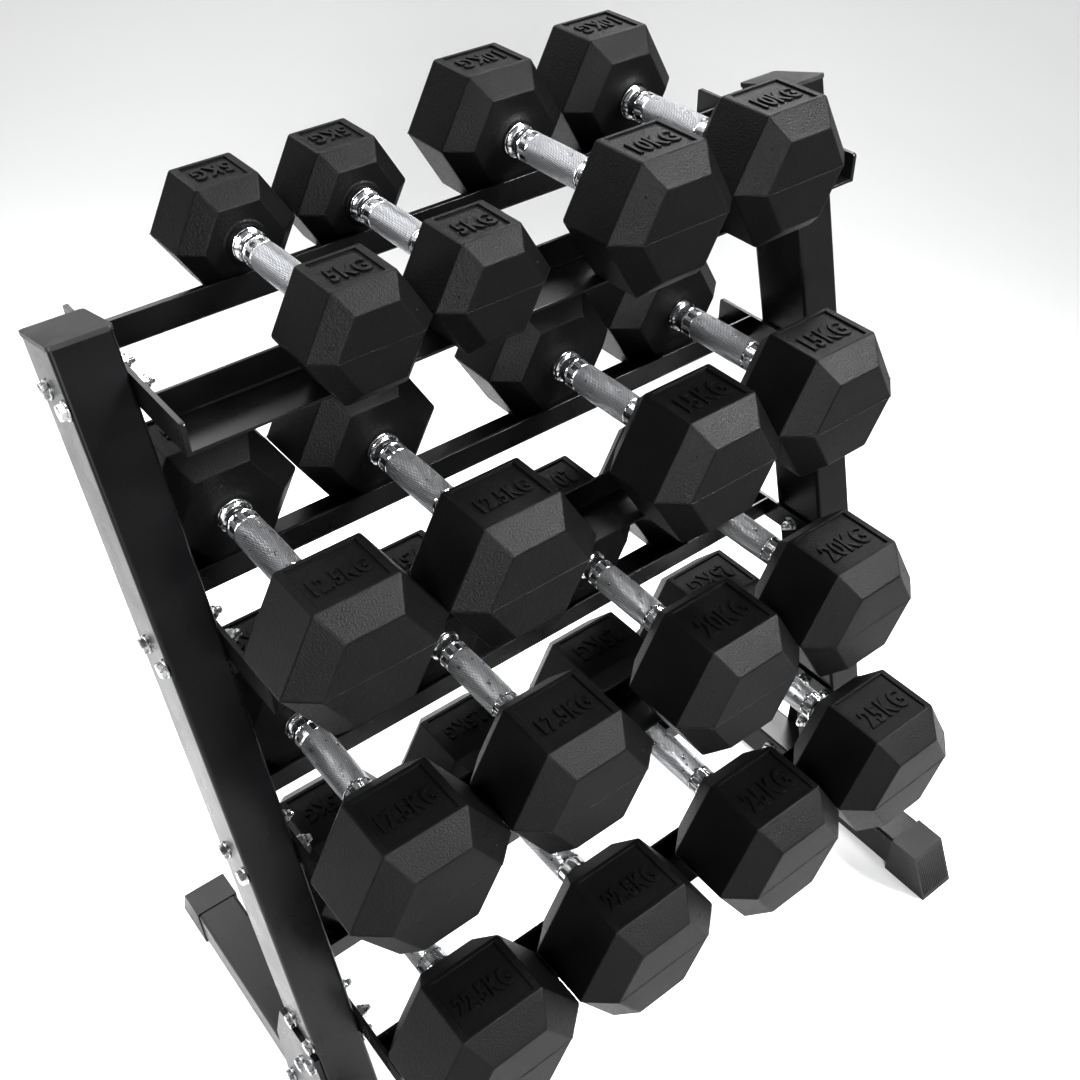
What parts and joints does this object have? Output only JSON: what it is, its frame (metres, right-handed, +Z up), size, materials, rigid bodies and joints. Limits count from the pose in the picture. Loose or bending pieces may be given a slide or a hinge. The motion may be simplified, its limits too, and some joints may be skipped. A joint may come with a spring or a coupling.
{
  "type": "dumbbell rack",
  "caption": "Tiered steel dumbbell rack with back-leaning uprights, angle-iron shelves on flat arms, capped feet, and pairs of rubber hex dumbbells that lift off.",
  "frame": {"origin": "centre of the four feet's footprint on the floor", "axes": "+Z up, +X to the right seen from the front, +Y to the back; the rack faces -Y"},
  "size_m": [0.8238, 0.584, 0.9988],
  "materials": {
    "powder_coated_steel": "satin black powder coat",
    "rubber_coated_iron": "matt black moulded rubber skin over iron",
    "chromed_steel": "bright chrome with knurled grip",
    "cap_plastic": "matt",
    "foot_rubber": "matt",
    "zinc_steel": "bright zinc plate"
  },
  "bodies": {
    "rack": {"base_tube_left": "powder_coated_steel", "base_tube_right": "powder_coated_steel", "bottom_front_rail": "powder_coated_steel", "bottom_left_arm": "powder_coated_steel", "bottom_rear_rail": "powder_coated_steel", "bottom_right_arm": "powder_coated_steel", "foot_caps": "foot_rubber", "foot_plate_left": "powder_coated_steel", "foot_plate_right": "powder_coated_steel", "hex_bolts": "zinc_steel", "lock_nuts": "zinc_steel", "lower_front_rail": "powder_coated_steel", "lower_left_arm": "powder_coated_steel", "lower_rear_rail": "powder_coated_steel", "lower_right_arm": "powder_coated_steel", "top_cap_left": "cap_plastic", "top_cap_right": "cap_plastic", "top_front_rail": "powder_coated_steel", "top_left_arm": "powder_coated_steel", "top_rear_rail": "powder_coated_steel", "top_right_arm": "powder_coated_steel", "upper_front_rail": "powder_coated_steel", "upper_left_arm": "powder_coated_steel", "upper_rear_rail": "powder_coated_steel", "upper_right_arm": "powder_coated_steel", "upright_left": "powder_coated_steel", "upright_right": "powder_coated_steel", "washers": "zinc_steel"},
    "dumbbell_05kg_a": {"dumbbell_05kg_a_handle": "chromed_steel", "dumbbell_05kg_a_heads": "rubber_coated_iron"},
    "dumbbell_05kg_b": {"dumbbell_05kg_b_handle": "chromed_steel", "dumbbell_05kg_b_heads": "rubber_coated_iron"},
    "dumbbell_10kg_a": {"dumbbell_10kg_a_handle": "chromed_steel", "dumbbell_10kg_a_heads": "rubber_coated_iron"},
    "dumbbell_10kg_b": {"dumbbell_10kg_b_handle": "chromed_steel", "dumbbell_10kg_b_heads": "rubber_coated_iron"},
    "dumbbell_12kg5_a": {"dumbbell_12kg5_a_handle": "chromed_steel", "dumbbell_12kg5_a_heads": "rubber_coated_iron"},
    "dumbbell_12kg5_b": {"dumbbell_12kg5_b_handle": "chromed_steel", "dumbbell_12kg5_b_heads": "rubber_coated_iron"},
    "dumbbell_15kg_a": {"dumbbell_15kg_a_handle": "chromed_steel", "dumbbell_15kg_a_heads": "rubber_coated_iron"},
    "dumbbell_15kg_b": {"dumbbell_15kg_b_handle": "chromed_steel", "dumbbell_15kg_b_heads": "rubber_coated_iron"},
    "dumbbell_17kg5_a": {"dumbbell_17kg5_a_handle": "chromed_steel", "dumbbell_17kg5_a_heads": "rubber_coated_iron"},
    "dumbbell_17kg5_b": {"dumbbell_17kg5_b_handle": "chromed_steel", "dumbbell_17kg5_b_heads": "rubber_coated_iron"},
    "dumbbell_20kg_a": {"dumbbell_20kg_a_handle": "chromed_steel", "dumbbell_20kg_a_heads": "rubber_coated_iron"},
    "dumbbell_20kg_b": {"dumbbell_20kg_b_handle": "chromed_steel", "dumbbell_20kg_b_heads": "rubber_coated_iron"},
    "dumbbell_22kg5_a": {"dumbbell_22kg5_a_handle": "chromed_steel", "dumbbell_22kg5_a_heads": "rubber_coated_iron"},
    "dumbbell_22kg5_b": {"dumbbell_22kg5_b_handle": "chromed_steel", "dumbbell_22kg5_b_heads": "rubber_coated_iron"},
    "dumbbell_25kg_a": {"dumbbell_25kg_a_handle": "chromed_steel", "dumbbell_25kg_a_heads": "rubber_coated_iron"},
    "dumbbell_25kg_b": {"dumbbell_25kg_b_handle": "chromed_steel", "dumbbell_25kg_b_heads": "rubber_coated_iron"}
  },
  "joints": [
    {"name": "dumbbell_05kg_a_lift", "type": "slide", "parent": "rack", "child": "dumbbell_05kg_a", "axis": [0, 0, 1], "range_m": [0, 0.05]},
    {"name": "dumbbell_05kg_b_lift", "type": "slide", "parent": "rack", "child": "dumbbell_05kg_b", "axis": [0, 0, 1], "range_m": [0, 0.05]},
    {"name": "dumbbell_10kg_a_lift", "type": "slide", "parent": "rack", "child": "dumbbell_10kg_a", "axis": [0, 0, 1], "range_m": [0, 0.05]},
    {"name": "dumbbell_10kg_b_lift", "type": "slide", "parent": "rack", "child": "dumbbell_10kg_b", "axis": [0, 0, 1], "range_m": [0, 0.05]},
    {"name": "dumbbell_12kg5_a_lift", "type": "slide", "parent": "rack", "child": "dumbbell_12kg5_a", "axis": [0, 0, 1], "range_m": [0, 0.05]},
    {"name": "dumbbell_12kg5_b_lift", "type": "slide", "parent": "rack", "child": "dumbbell_12kg5_b", "axis": [0, 0, 1], "range_m": [0, 0.05]},
    {"name": "dumbbell_15kg_a_lift", "type": "slide", "parent": "rack", "child": "dumbbell_15kg_a", "axis": [0, 0, 1], "range_m": [0, 0.05]},
    {"name": "dumbbell_15kg_b_lift", "type": "slide", "parent": "rack", "child": "dumbbell_15kg_b", "axis": [0, 0, 1], "range_m": [0, 0.05]},
    {"name": "dumbbell_17kg5_a_lift", "type": "slide", "parent": "rack", "child": "dumbbell_17kg5_a", "axis": [0, 0, 1], "range_m": [0, 0.035]},
    {"name": "dumbbell_17kg5_b_lift", "type": "slide", "parent": "rack", "child": "dumbbell_17kg5_b", "axis": [0, 0, 1], "range_m": [0, 0.05]},
    {"name": "dumbbell_20kg_a_lift", "type": "slide", "parent": "rack", "child": "dumbbell_20kg_a", "axis": [0, 0, 1], "range_m": [0, 0.05]},
    {"name": "dumbbell_20kg_b_lift", "type": "slide", "parent": "rack", "child": "dumbbell_20kg_b", "axis": [0, 0, 1], "range_m": [0, 0.05]},
    {"name": "dumbbell_22kg5_a_lift", "type": "slide", "parent": "rack", "child": "dumbbell_22kg5_a", "axis": [0, 0, 1], "range_m": [0, 0.05]},
    {"name": "dumbbell_22kg5_b_lift", "type": "slide", "parent": "rack", "child": "dumbbell_22kg5_b", "axis": [0, 0, 1], "range_m": [0, 0.05]},
    {"name": "dumbbell_25kg_a_lift", "type": "slide", "parent": "rack", "child": "dumbbell_25kg_a", "axis": [0, 0, 1], "range_m": [0, 0.05]},
    {"name": "dumbbell_25kg_b_lift", "type": "slide", "parent": "rack", "child": "dumbbell_25kg_b", "axis": [0, 0, 1], "range_m": [0, 0.05]}
  ]
}
